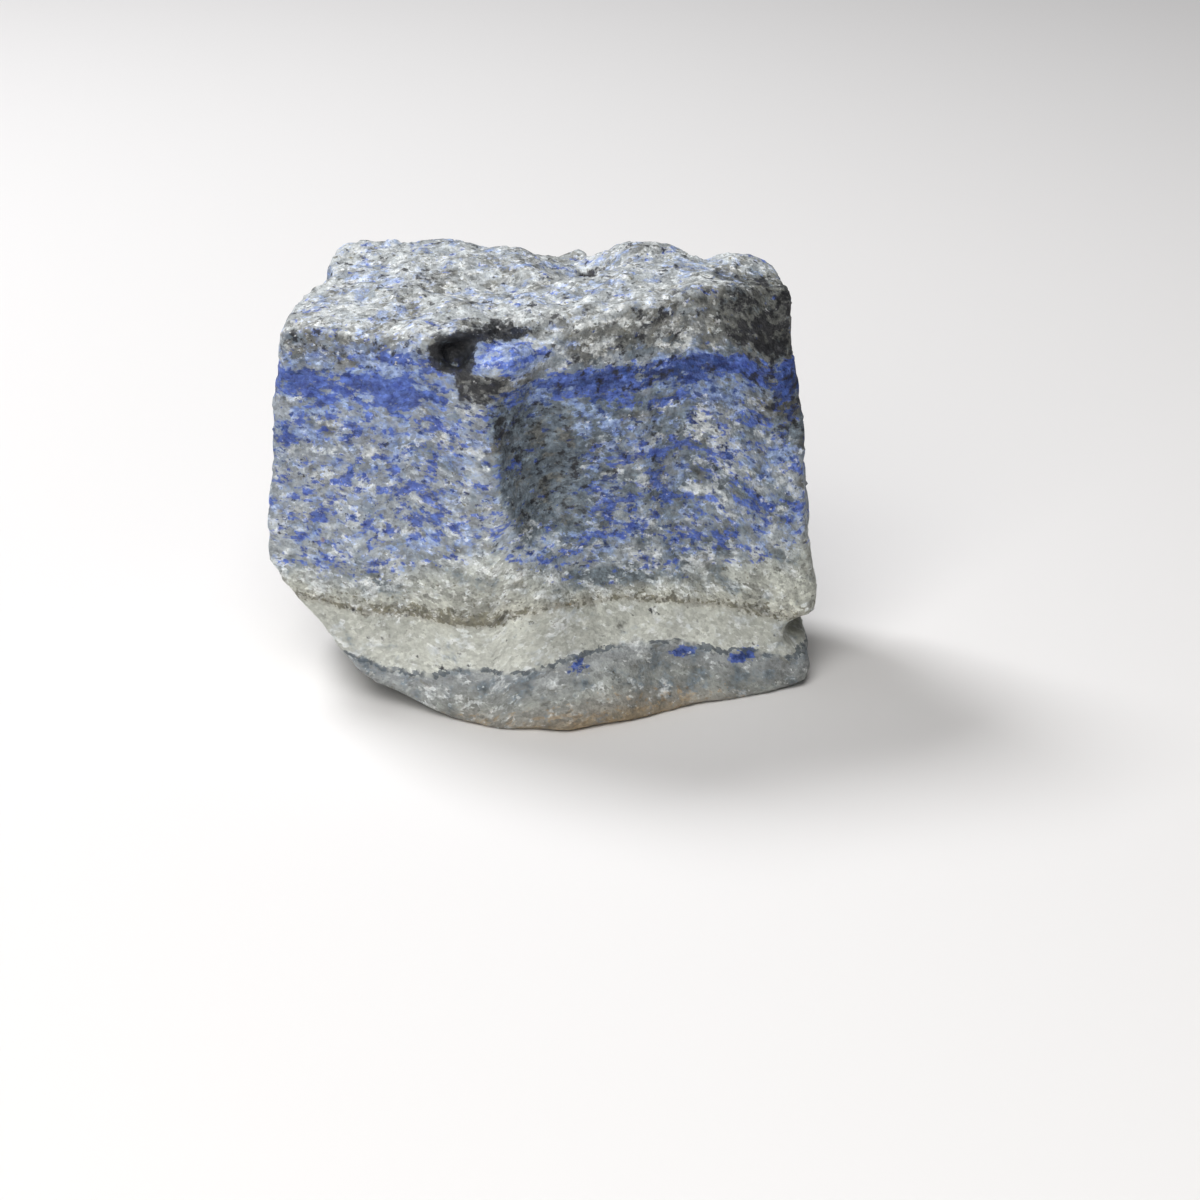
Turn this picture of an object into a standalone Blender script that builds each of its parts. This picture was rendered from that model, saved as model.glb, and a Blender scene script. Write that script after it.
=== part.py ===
"""Rough lapis lazuli: one broken block of banded stone, resting on a small flat spot.

The block is cut from a cube by the flat faces where it broke. Smaller blocks cut the
ledge, the step, the notch, the front right break, the flute and the back slab out of it.
Then it is worked over with broad strokes (lumps, hollows, a pit) and with a grain of
fine unevenness that differs from face to face. It is one closed solid.

Metres, +Z up. The front faces -Y. The origin is the bottom centre of the stone's box.
"""
import math
from dataclasses import dataclass

import bmesh
import bpy
from mathutils import Vector, noise

MM = 0.001

# Driving dimensions: the stone's own box.
WIDTH = 56.0 * MM
DEPTH = 41.6 * MM
HEIGHT = 42.0 * MM

# The block is cut out of a cube of this size.
ROUGH_CUBE = 120 * MM

# The surface is worked at this spacing, then thinned to the finished number of triangles.
WORKING_GRID = 0.55 * MM
FINISHED_TRIANGLES = 9000

# How much is ground off the underside to leave the flat spot that the stone rests on.
REST_CUT = 0.35 * MM

# Colour of the whole stone from a step away: pale blue-grey marble, dull and not metallic.
STONE_COLOUR = (0.262, 0.300, 0.381, 1.0)
STONE_ROUGHNESS = 0.62


@dataclass(frozen=True)
class BreakFace:
    """A flat break: a point on it, where it faces (degrees, 0 front, + right) and its upward tilt."""
    name: str
    point: tuple
    facing: float
    tilt: float

    @property
    def normal(self):
        return heading(self.facing, self.tilt)

    @property
    def place(self):
        return Vector(self.point) * MM


@dataclass(frozen=True)
class Stroke:
    """A push along one heading, strongest on its path and gone at its reach. Millimetres."""
    name: str
    path: tuple
    reach: float
    push: float
    facing: float
    tilt: float


@dataclass(frozen=True)
class Grain:
    """Unevenness of one size: the wavelength and height of its lumps, in millimetres."""
    wavelength: float
    height: float
    seed: float


def heading(facing, tilt):
    """Unit vector of a compass facing (0 is the front, -Y; 90 the right, +X) and an upward tilt."""
    around = math.radians(facing)
    up = math.radians(tilt)
    return Vector((math.sin(around) * math.cos(up), -math.cos(around) * math.cos(up), math.sin(up)))


# The faces where the block broke, in millimetres from the middle of its resting spot.
BREAK_FACES = (
    BreakFace("front left panel", (-3.3, -17.5, 20.0), -23.5, 1.5),
    BreakFace("left side", (-27.8, -6.0, 18.0), -95.0, 2.6),
    BreakFace("left side, upper part", (-25.7, -7.0, 36.0), -97.3, 11.0),
    BreakFace("right side", (26.3, -2.0, 25.0), 95.0, 4.8),
    BreakFace("right side, foot", (28.0, -4.0, 12.0), 94.0, -4.5),
    BreakFace("chipped right corner", (25.2, -1.4, 32.0), 46.0, 19.0),
    BreakFace("back, left half", (-11.0, 19.8, 36.0), -173.0, -4.0),
    BreakFace("back, right half", (13.0, 18.4, 30.0), 158.0, 2.0),
    BreakFace("back foot", (-4.0, 16.8, 9.0), -164.0, -38.0),
    BreakFace("back right foot", (16.0, 15.0, 6.0), 140.0, -30.0),
    BreakFace("top, left half", (-10.0, 5.0, 39.7), -80.0, 86.0),
    BreakFace("top, right half", (14.0, -4.0, 41.7), 150.0, 81.0),
    BreakFace("undercut left, steep", (-23.8, -8.0, 9.2), -78.0, -37.0),
    BreakFace("undercut left, shallow", (-13.2, -13.0, 1.0), -52.0, -62.0),
    BreakFace("undercut right end", (25.8, -5.0, -0.2), 78.0, -71.0),
    BreakFace("blunted foot of the ridge", (-1.5, -18.1, 6.0), -2.0, -1.0),
    BreakFace("underside", (0.0, 0.0, -0.3), 0.0, -90.0),
    BreakFace("underside, rising to the back", (0.0, 5.0, -0.3), 176.0, -83.0),
    BreakFace("underside, rising to the left", (-9.0, 0.0, -0.3), -82.0, -83.0),
    BreakFace("underside, rising to the right", (18.0, 0.0, -0.3), 100.0, -86.0),
)

# The front right break. It leaves the left half of the front standing proud of it, behind a
# wall that looks to the right and dies out towards the foot.
FRONT_RIGHT_FACES = (
    BreakFace("front right panel, cut from the outside", (5.0, -14.8, 12.0), -156.0, -9.0),
    BreakFace("wall beside the ridge, cut from the outside", (-3.2, -17.6, 20.0), -137.0, -6.0),
)

# The ledge under the front rim: a chip with a steep back wall and a floor that slopes forward.
LEDGE_FACES = (
    BreakFace("back wall of the ledge", (-4.0, -11.6, 39.0), -155.0, 5.0),
    BreakFace("floor of the ledge", (-4.0, -15.0, 37.2), 160.0, -74.0),
    BreakFace("left end of the ledge", (-10.4, -13.0, 39.0), -75.0, -20.0),
    BreakFace("right end of the ledge", (7.0, -7.0, 41.0), 70.0, 0.0),
)

# The layer below the blue zone is broken back a little at the lower left, which leaves a step.
STEP_FACES = (
    BreakFace("roof of the step", (-27.0, -8.0, 12.9), 40.0, 84.0),
    BreakFace("wall of the step", (-26.4, -8.0, 12.8), 100.0, 26.0),
)

# The notch in the soft white layer at the right end.
NOTCH_FACES = (
    BreakFace("roof of the notch", (27.0, -4.0, 6.7), 60.0, 80.0),
    BreakFace("floor of the notch", (26.4, -4.0, 3.2), 100.0, -64.0),
    BreakFace("inner wall of the notch", (25.9, -4.5, 4.5), -97.0, 0.0),
)

# A slab broken off the upper right of the back along the bedding.
BACK_FACES = (
    BreakFace("floor of the back slab", (14.0, 16.0, 25.5), 0.0, -84.0),
    BreakFace("inner wall of the back slab", (13.0, 16.3, 32.0), -26.0, -7.0),
    BreakFace("left end of the back slab", (2.0, 18.0, 32.0), -110.0, 12.0),
)

# The shallow flute beside the ridge. It ends above the middle in a foot that slopes forward.
FLUTE_FACES = (
    BreakFace("back of the flute, cut from the outside", (9.5, -11.0, 20.0), -170.0, -2.0),
    BreakFace("wall of the flute, cut from the outside", (-2.9, -17.3, 20.0), -136.0, -7.0),
    BreakFace("foot of the flute", (0.8, -14.2, 19.8), 165.0, -58.0),
)

STROKES = (
    Stroke("hump at the back of the top", ((10.4, 14.5, 39.5),), 6.6, 1.1, 0, 90),
    Stroke("dip across the back rim", ((1.6, 22.0, 39.0), (4.0, 8.0, 40.0)), 6.0, -2.0, 0, 90),
    Stroke("fall behind the middle", ((-4.5, 21.0, 40.0),), 7.0, -1.6, 0, 90),
    Stroke("raised corner at the back left", ((-21.0, 19.0, 39.0),), 7.0, 0.8, 0, 90),
    Stroke("small dip right of the hump", ((15.0, 17.0, 39.0),), 3.6, -0.6, 0, 90),
    Stroke("swell at the back right", ((21.5, 11.0, 39.5),), 6.0, 1.5, 0, 90),
    Stroke("hollow in the middle of the top", ((-7.0, 4.0, 40.0), (0.0, 0.0, 40.0)), 6.0, -0.7, 0, 90),
    Stroke("pit in the top", ((5.4, 10.5, 39.0), (6.4, 10.7, 39.0)), 2.0, -1.9, 0, 90),
    Stroke("bite in the left rim", ((-23.0, 9.5, 40.0), (-24.0, 10.0, 34.0)), 5.0, -1.3, -95, 0),
    Stroke("chip in the ridge", ((-4.6, -17.0, 33.4),), 2.4, -0.9, 10, 0),
    Stroke("hollow under the ledge", ((-5.8, -16.0, 36.0), (-3.2, -16.4, 35.0)), 3.0, -1.3, 15, 20),
    Stroke("swell where the flute ends", ((-1.6, -16.8, 16.0), (0.6, -16.4, 12.6)), 4.6, 1.1, 12, 0),
    Stroke("rounded foot of the ridge", ((-3.0, -18.4, 8.0), (-2.2, -18.8, 0.0)), 6.0, -0.2, 0, 0),
    Stroke("rounded foot of the front", ((3.0, -16.4, 2.6), (8.0, -14.4, 2.6)), 5.0, 0.9, 20, 0),
    Stroke("thumbnail scoop", ((15.6, -9.4, 13.2), (18.2, -8.4, 12.8)), 3.2, -1.1, 24, 9),
    Stroke("second flute", ((13.6, -8.7, 30.0), (14.6, -9.8, 17.0)), 3.6, -0.5, 26, 9),
    Stroke("lump on the right side", ((27.6, 3.5, 18.6), (28.2, 2.5, 16.0)), 4.6, 1.5, 90, 0),
    Stroke("hollow in the right side", ((25.5, 9.0, 33.0), (26.5, 6.0, 27.0)), 7.0, -1.3, 95, 0),
    Stroke("hollow in the back", ((-10.0, 19.0, 25.0), (-6.0, 18.0, 14.0)), 10.0, -2.2, -172, 0),
    Stroke("rib down the back", ((2.0, 20.0, 36.0), (1.0, 20.0, 12.0)), 6.0, 1.0, 180, 0),
    Stroke("hollow in the left side", ((-27.0, 5.0, 26.0), (-27.5, 9.0, 20.0)), 8.0, -1.3, -95, 0),
)

# How far edges and faces wander from straight, and the seed of the way they wander.
WANDER_SEED = 2
BENDS = (Grain(13.0, 0.55, 5.0), Grain(4.5, 0.30, 23.0))

# Grain of each kind of face, from coarse to fine.
TOP_GRAIN = (Grain(11.0, 0.50, 3.0), Grain(5.0, 0.42, 17.0), Grain(2.4, 0.22, 31.0))
FRONT_GRAIN = (Grain(12.0, 0.28, 47.0), Grain(5.5, 0.20, 61.0), Grain(2.6, 0.10, 73.0))
HIDDEN_GRAIN = (Grain(14.0, 0.80, 89.0), Grain(6.0, 0.50, 97.0), Grain(2.8, 0.24, 109.0))
UNDERSIDE_GRAIN = (Grain(13.0, 0.25, 127.0), Grain(6.0, 0.18, 139.0))


def clear_scene():
    """Remove whatever objects the scene holds."""
    for item in list(bpy.data.objects):
        bpy.data.objects.remove(item, do_unlink=True)


def make_object(name, bm):
    """Turn a bmesh into a named object in the scene."""
    mesh = bpy.data.meshes.new(name)
    bm.to_mesh(mesh)
    bm.free()
    item = bpy.data.objects.new(name, mesh)
    bpy.context.scene.collection.objects.link(item)
    return item


def hide_as_cutter(item):
    """Show an object as a wire guide that is no part of the stone."""
    item.hide_render = True
    item.display_type = "WIRE"
    return item


def slice_flat(bm, point, normal):
    """Cut everything beyond a plane off a closed mesh and close it with a flat face."""
    geometry = bm.verts[:] + bm.edges[:] + bm.faces[:]
    cut = bmesh.ops.bisect_plane(bm, geom=geometry, plane_co=point, plane_no=normal, clear_outer=True)
    rim = [part for part in cut["geom_cut"] if isinstance(part, bmesh.types.BMEdge)]
    bmesh.ops.edgeloop_fill(bm, edges=rim)
    bmesh.ops.recalc_face_normals(bm, faces=bm.faces[:])


def block_between(name, faces):
    """A closed block with flat faces: the part of the rough cube behind every given face."""
    bm = bmesh.new()
    bmesh.ops.create_cube(bm, size=ROUGH_CUBE)
    for face in faces:
        slice_flat(bm, face.place, face.normal)
    return make_object(name, bm)


def bake(item):
    """Apply an object's modifiers to its mesh."""
    graph = bpy.context.evaluated_depsgraph_get()
    finished = bpy.data.meshes.new_from_object(item.evaluated_get(graph))
    item.modifiers.clear()
    item.data = finished


def chip(stone, cutters):
    """Subtract each cutter from the stone."""
    for cutter in cutters:
        cut = stone.modifiers.new(cutter.name, "BOOLEAN")
        cut.operation = "DIFFERENCE"
        cut.solver = "EXACT"
        cut.object = hide_as_cutter(cutter)
    bake(stone)


def spread_grid(stone):
    """Cover the stone with an even grid of small faces."""
    grid = stone.modifiers.new("even grid", "REMESH")
    grid.mode = "VOXEL"
    grid.voxel_size = WORKING_GRID
    bake(stone)


def distance_to_path(point, path):
    """Shortest distance from a point to a line through one or more places."""
    if len(path) == 1:
        return (point - path[0]).length
    nearest = math.inf
    for start, end in zip(path, path[1:]):
        run = end - start
        along = max(0.0, min(1.0, (point - start).dot(run) / run.length_squared))
        nearest = min(nearest, (point - start - run * along).length)
    return nearest


def work_strokes(bm):
    """Push the surface in or out along every stroke."""
    for stroke in STROKES:
        path = [Vector(place) for place in stroke.path]
        push = heading(stroke.facing, stroke.tilt) * stroke.push * MM
        for vert in bm.verts:
            near = distance_to_path(vert.co / MM, path) / stroke.reach
            if near < 1.0:
                vert.co += push * (1.0 - near * near) ** 2


def grain_height(point, grains):
    """Summed height of several sizes of lumps at a point, in millimetres."""
    height = 0.0
    for grain in grains:
        height += grain.height * noise.noise(point / grain.wavelength + Vector((grain.seed, 0.0, 0.0)))
    return height


def ramp(value, low, high):
    """Smooth step from 0 at low to 1 at high."""
    share = max(0.0, min(1.0, (value - low) / (high - low)))
    return share * share * (3.0 - 2.0 * share)


def wander(bm):
    """Shift the whole surface gently to and fro, so that no edge or face stays dead straight."""
    noise.seed_set(WANDER_SEED)
    for vert in bm.verts:
        point = vert.co / MM
        for bend in BENDS:
            shift = noise.noise_vector(point / bend.wavelength + Vector((0.0, bend.seed, 0.0)))
            vert.co += shift * bend.height * MM


def roughen(bm):
    """Give each face its own grain, blended by which way the surface looks."""
    bm.normal_update()
    moves = []
    for vert in bm.verts:
        point = vert.co / MM
        top = ramp(vert.normal.z, 0.45, 0.80)
        under = ramp(-vert.normal.z, 0.30, 0.60)
        hidden = (1.0 - top) * (1.0 - under) * ramp(vert.normal.y, -0.20, 0.25)
        front = (1.0 - top) * (1.0 - under) - hidden
        height = top * grain_height(point, TOP_GRAIN)
        height += under * grain_height(point, UNDERSIDE_GRAIN)
        height += hidden * grain_height(point, HIDDEN_GRAIN)
        height += front * grain_height(point, FRONT_GRAIN)
        moves.append(vert.normal * height * MM)
    for vert, move in zip(bm.verts, moves):
        vert.co += move


def work_surface(stone):
    """Apply the strokes and the grain to the stone's even grid."""
    bm = bmesh.new()
    bm.from_mesh(stone.data)
    work_strokes(bm)
    wander(bm)
    roughen(bm)
    bm.to_mesh(stone.data)
    bm.free()


def drop_crumbs(bm):
    """Keep the largest closed piece of a mesh, without any crumb or sealed pocket beside it."""
    waiting = set(bm.verts)
    pieces = []
    while waiting:
        front = [waiting.pop()]
        piece = list(front)
        while front:
            near = {edge.other_vert(vert) for vert in front for edge in vert.link_edges}
            front = list(near & waiting)
            waiting.difference_update(front)
            piece.extend(front)
        pieces.append(piece)
    pieces.sort(key=len)
    crumbs = [vert for piece in pieces[:-1] for vert in piece]
    bmesh.ops.delete(bm, geom=crumbs, context="VERTS")


def thin_out(stone):
    """Merge small faces until the stone has its finished number of triangles."""
    triangles = sum(len(face.vertices) - 2 for face in stone.data.polygons)
    thin = stone.modifiers.new("thin out", "DECIMATE")
    thin.ratio = FINISHED_TRIANGLES / triangles
    bake(stone)


def finish_size(stone):
    """Cut the resting spot, scale the stone to its box and stand it on the origin."""
    bm = bmesh.new()
    bm.from_mesh(stone.data)
    lowest = min(vert.co.z for vert in bm.verts)
    slice_flat(bm, Vector((0.0, 0.0, lowest + REST_CUT)), Vector((0.0, 0.0, -1.0)))
    drop_crumbs(bm)
    low = Vector([min(vert.co[axis] for vert in bm.verts) for axis in range(3)])
    high = Vector([max(vert.co[axis] for vert in bm.verts) for axis in range(3)])
    foot = Vector(((low.x + high.x) / 2, (low.y + high.y) / 2, low.z))
    size = high - low
    scale = Vector((WIDTH / size.x, DEPTH / size.y, HEIGHT / size.z))
    bmesh.ops.translate(bm, verts=bm.verts[:], vec=-foot)
    bmesh.ops.scale(bm, verts=bm.verts[:], vec=scale)
    bmesh.ops.triangulate(bm, faces=bm.faces[:])
    bm.to_mesh(stone.data)
    bm.free()


def stone_material():
    """Broken lazurite-bearing marble: pale blue-grey, dull, not metallic."""
    material = bpy.data.materials.new("broken_lapis_marble")
    material.use_nodes = True
    shader = material.node_tree.nodes["Principled BSDF"]
    shader.inputs["Base Color"].default_value = STONE_COLOUR
    shader.inputs["Roughness"].default_value = STONE_ROUGHNESS
    shader.inputs["Metallic"].default_value = 0.0
    return material


def build_stone():
    """Cut, chip, work and finish the one solid of the object."""
    stone = block_between("lapis_stone", BREAK_FACES)
    cutters = [
        block_between("ledge_cutter", LEDGE_FACES),
        block_between("step_cutter", STEP_FACES),
        block_between("notch_cutter", NOTCH_FACES),
        block_between("front_right_cutter", FRONT_RIGHT_FACES),
        block_between("back_slab_cutter", BACK_FACES),
        block_between("flute_cutter", FLUTE_FACES),
    ]
    chip(stone, cutters)
    spread_grid(stone)
    work_surface(stone)
    spread_grid(stone)
    thin_out(stone)
    finish_size(stone)
    stone.data.materials.clear()
    stone.data.materials.append(stone_material())
    return stone


def main():
    """Model the stone in an empty scene."""
    clear_scene()
    return build_stone()


main()
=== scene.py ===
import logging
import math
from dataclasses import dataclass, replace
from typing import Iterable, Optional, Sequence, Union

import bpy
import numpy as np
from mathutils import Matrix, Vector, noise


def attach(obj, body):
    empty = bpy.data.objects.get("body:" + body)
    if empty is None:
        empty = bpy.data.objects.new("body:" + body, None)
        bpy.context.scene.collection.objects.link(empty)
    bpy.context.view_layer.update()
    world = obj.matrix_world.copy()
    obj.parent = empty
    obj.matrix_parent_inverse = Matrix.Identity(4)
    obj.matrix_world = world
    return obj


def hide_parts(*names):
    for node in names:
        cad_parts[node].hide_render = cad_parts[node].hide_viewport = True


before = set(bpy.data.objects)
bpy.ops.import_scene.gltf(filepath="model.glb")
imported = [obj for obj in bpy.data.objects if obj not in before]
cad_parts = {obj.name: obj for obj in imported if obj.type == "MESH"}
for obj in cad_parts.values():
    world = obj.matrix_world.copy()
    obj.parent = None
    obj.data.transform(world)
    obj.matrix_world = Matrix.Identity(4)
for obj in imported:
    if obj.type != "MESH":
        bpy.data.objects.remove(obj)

# Rough lapis lazuli: the looks of one broken block of banded rock on a pale floor.
#
# The rock is calcite marble laid down in level bands. RoughStone gives the solid its broken,
# granular surface and works out how much of each mineral every place on it holds. LapisMarble
# scatters the mineral grains in those amounts. Studio sets the floor, the light and the camera.
# All lengths below are in millimetres, in the frame of the solid.

log = logging.getLogger("rough_lapis")

MM = 0.001

Pair = tuple[float, float]
Triple = tuple[float, float, float]
Stops = tuple[Pair, ...]
NodeInput = Union[float, Sequence[float], bpy.types.NodeSocket]


def linear(colour: str) -> tuple[float, float, float, float]:
    """Turn an sRGB hex colour into linear light.

    Args:
        colour: The colour, such as "#c8cdd2".

    Returns:
        Linear red, green and blue, and an alpha of one.
    """
    channels = [int(colour[i:i + 2], 16) / 255 for i in (1, 3, 5)]
    red, green, blue = [c / 12.92 if c <= 0.04045 else ((c + 0.055) / 1.055) ** 2.4 for c in channels]
    return red, green, blue, 1.0


def find_socket(sockets: Iterable[bpy.types.NodeSocket], name: str) -> bpy.types.NodeSocket:
    """Find a node's socket by its identifier, or else by its name.

    Args:
        sockets: The inputs or outputs of one node.
        name: The identifier or the name.

    Returns:
        The socket.
    """
    found = [s for s in sockets if s.identifier == name] or [s for s in sockets if s.name == name]
    if not found:
        raise KeyError(f"no socket called {name}")
    return found[0]


def add_node(
    tree: bpy.types.NodeTree,
    kind: str,
    settings: Optional[dict[str, object]] = None,
    inputs: Optional[dict[str, NodeInput]] = None,
    output: str = "",
) -> bpy.types.NodeSocket:
    """Add one node with its settings and links.

    Args:
        tree: The material's node tree.
        kind: The Blender type of the node.
        settings: Properties of the node by name.
        inputs: For each input by name, a constant or the socket that feeds it.
        output: The output to hand back, or nothing for the first one.

    Returns:
        The output socket.
    """
    node = tree.nodes.new(kind)
    for name, value in (settings or {}).items():
        setattr(node, name, value)
    for name, value in (inputs or {}).items():
        socket = find_socket(node.inputs, name)
        if isinstance(value, bpy.types.NodeSocket):
            tree.links.new(value, socket)
        else:
            socket.default_value = value
    if output:
        return find_socket(node.outputs, output)
    return node.outputs[0] if node.outputs else node.inputs[0]


def ease(value: np.ndarray, low: float, high: float) -> np.ndarray:
    """Rise smoothly from zero at low to one at high, or fall if high is the smaller."""
    part = np.clip((value - low) / (high - low), 0.0, 1.0)
    return part * part * (3.0 - 2.0 * part)


@dataclass(frozen=True)
class Waves:
    """Smooth noise of one size.

    Attributes:
        size: Length of one rise and fall.
        height: How far it goes up and down.
        seed: Shifts the noise, so that two of them differ.
    """

    size: float
    height: float
    seed: float

    def at(self, places: np.ndarray) -> np.ndarray:
        """Work out the noise at each place, from about -height to height."""
        shift = Vector((self.seed, 1.7 * self.seed, -self.seed))
        return self.height * np.array([noise.noise(Vector(p) / self.size + shift) for p in places])


@dataclass(frozen=True)
class Facets:
    """Flat crystal faces that each lean their own way.

    Attributes:
        size: Width of one crystal face.
        slope: How far a face stands out for each millimetre of its width.
        seed: Shifts the crystals.
    """

    size: float
    slope: float
    seed: float

    def at(self, places: np.ndarray) -> np.ndarray:
        """Work out how far the crystal face at each place stands out.

        Args:
            places: Points, one row each.

        Returns:
            Heights, as often below zero as above.
        """
        heights = []
        shift = Vector((self.seed, -self.seed, 0.6 * self.seed))
        for place in places:
            point = Vector(place) / self.size + shift
            middle = noise.voronoi(point)[1][0]
            lean = noise.cell_vector(middle * 9.7) - Vector((0.5, 0.5, 0.5))
            heights.append((point - middle).dot(lean))
        return self.slope * (self.size * np.array(heights))


@dataclass(frozen=True)
class Spot:
    """A round place where a mineral gathers, or where the surface is hollow.

    Attributes:
        centre: Its middle.
        radii: How far it reaches along x, y and z.
        amount: Share of the mineral there, or depth of the hollow.
        crisp: One for a soft round spot, more for a squarer one with crisper edges.
        lean: How far it moves along x for each millimetre up.
    """

    centre: Triple
    radii: Triple
    amount: float
    crisp: float = 1.0
    lean: float = 0.0

    def spread(self, places: np.ndarray) -> np.ndarray:
        """Work out how strongly each place feels the spot.

        Args:
            places: Points, one row each.

        Returns:
            Values from zero to the amount.
        """
        offset = places - np.array(self.centre)
        offset[:, 0] -= self.lean * offset[:, 2]
        squares = (offset / np.array(self.radii)) ** 2
        return self.amount * np.exp(-np.sum(squares ** self.crisp, axis=1))

    def times(self, amount: float) -> "Spot":
        """Make the same spot with another amount."""
        return replace(self, amount=amount)


@dataclass(frozen=True)
class Mineral:
    """One kind of grain in the rock and where it lies.

    Attributes:
        name: Name of the mesh attribute that holds its share.
        colours: The darker and the lighter colour of its grains.
        length: Usual length of a grain along the bedding.
        flatness: How many times longer than high a grain is.
        column: Its share of the rock by unfolded height, from the foot up.
        crown: Its share on the rough top face.
        clump: Size of the clumps its grains gather in.
        clumping: How much fuller the clumps are than the rest.
        edge: Softness of a grain's edge, in noise levels.
        cover: How fully a grain hides the rock under it.
        spots: Places that hold more or less of it.
    """

    name: str
    colours: tuple[str, str]
    length: float
    flatness: float
    column: Stops
    crown: float
    clump: float
    clumping: float
    edge: float
    cover: float
    spots: tuple[Spot, ...] = ()


@dataclass(frozen=True)
class Bed:
    """One bed of the rock.

    Attributes:
        level: Its height in the unfolded rock, where it lies level.
        line: Its height along the front of the stone, as pairs of x and z.
    """

    level: float
    line: Stops

    def height(self, across: np.ndarray) -> np.ndarray:
        """Work out the height of the bed at each place across the front."""
        return np.interp(across, *zip(*self.line))


# The four beds that the photo shows, from the foot up.
SLATE_LINE = Bed(
    6.0,
    (
        (-19.7, 5.2), (-16.5, 4.6), (-13.9, 4.3), (-10.9, 4.6), (-7.5, 6.0), (-4.6, 6.1), (-1.4, 6.7),
        (2.4, 7.2), (4.1, 7.7), (7.6, 8.0), (10.5, 7.6), (13.3, 7.3), (16.2, 6.2), (20.5, 5.0), (25.7, 3.4),
    ),
)
PYRITE_SEAM = Bed(
    11.5,
    (
        (-21.6, 10.8), (-18.7, 10.3), (-15.8, 10.9), (-12.9, 11.4), (-10.8, 11.0), (-8.6, 10.7),
        (-5.1, 11.2), (-3.1, 12.6), (0.6, 13.4), (2.4, 13.3), (4.4, 13.3), (9.7, 12.1), (13.3, 11.5),
        (17.6, 10.3), (21.2, 8.8), (25.6, 7.4),
    ),
)
BLUE_FLECKS_START = Bed(
    15.0,
    (
        (-24.7, 12.9), (-20.0, 12.1), (-14.2, 14.4), (-8.1, 16.3), (-4.1, 18.2), (-2.1, 16.9), (1.7, 14.6),
        (7.7, 13.8), (14.7, 13.0), (21.9, 13.7), (26.1, 14.2),
    ),
)
BLUE_BAND = Bed(
    34.0,
    (
        (-24.9, 33.7), (-15.5, 33.9), (-12.5, 34.5), (-8.8, 34.0), (-6.3, 33.5), (-4.5, 33.2), (-2.1, 33.6),
        (1.8, 33.9), (5.7, 34.1), (9.6, 34.4), (14.6, 35.0), (19.7, 33.7), (22.7, 32.2),
    ),
)
BEDS = (SLATE_LINE, PYRITE_SEAM, BLUE_FLECKS_START, BLUE_BAND)

# The colour of the plain rock by unfolded height.
ROCK: tuple[tuple[float, str], ...] = (
    (-2.0, "#ad9670"),
    (0.4, "#9a978f"),
    (2.4, "#979a96"),
    (5.6, "#969a9c"),
    (6.3, "#c2c4bc"),
    (10.6, "#bbbdb4"),
    (11.3, "#afada2"),
    (12.2, "#b8b9af"),
    (14.6, "#b2b5ae"),
    (17.0, "#a7aeb3"),
    (30.0, "#a2a9b2"),
    (36.0, "#a3aab2"),
    (40.0, "#abb1b3"),
)
CROWN_ROCK = "#b6bbbd"

# Places that several minerals share: the dark wall of the flute beside the ridge, the steep dark facet at
# the right front corner, the blue ledge, the recess over it and the pit in the top. The dark of the flute
# wall, the facet, the recess and the pit is painted shade as well as darker grains.
FLUTE_WALL = Spot((-0.1, -15.5, 27.0), (3.9, 5.0, 6.8), 1.0, 4.0, -0.2)
DARK_FACET = Spot((24.9, -4.5, 33.3), (4.9, 9.0, 8.8), 1.0, 3.0, -0.42)
LEDGE = Spot((-3.5, -15.2, 37.5), (3.6, 3.0, 1.3), 1.0, 1.4)
RECESS = Spot((-8.5, -15.0, 38.2), (1.9, 4.5, 1.5), 1.0, 2.0)
PIT = Spot((4.7, 11.2, 38.4), (1.3, 1.3, 3.0), 1.0, 2.0)

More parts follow.
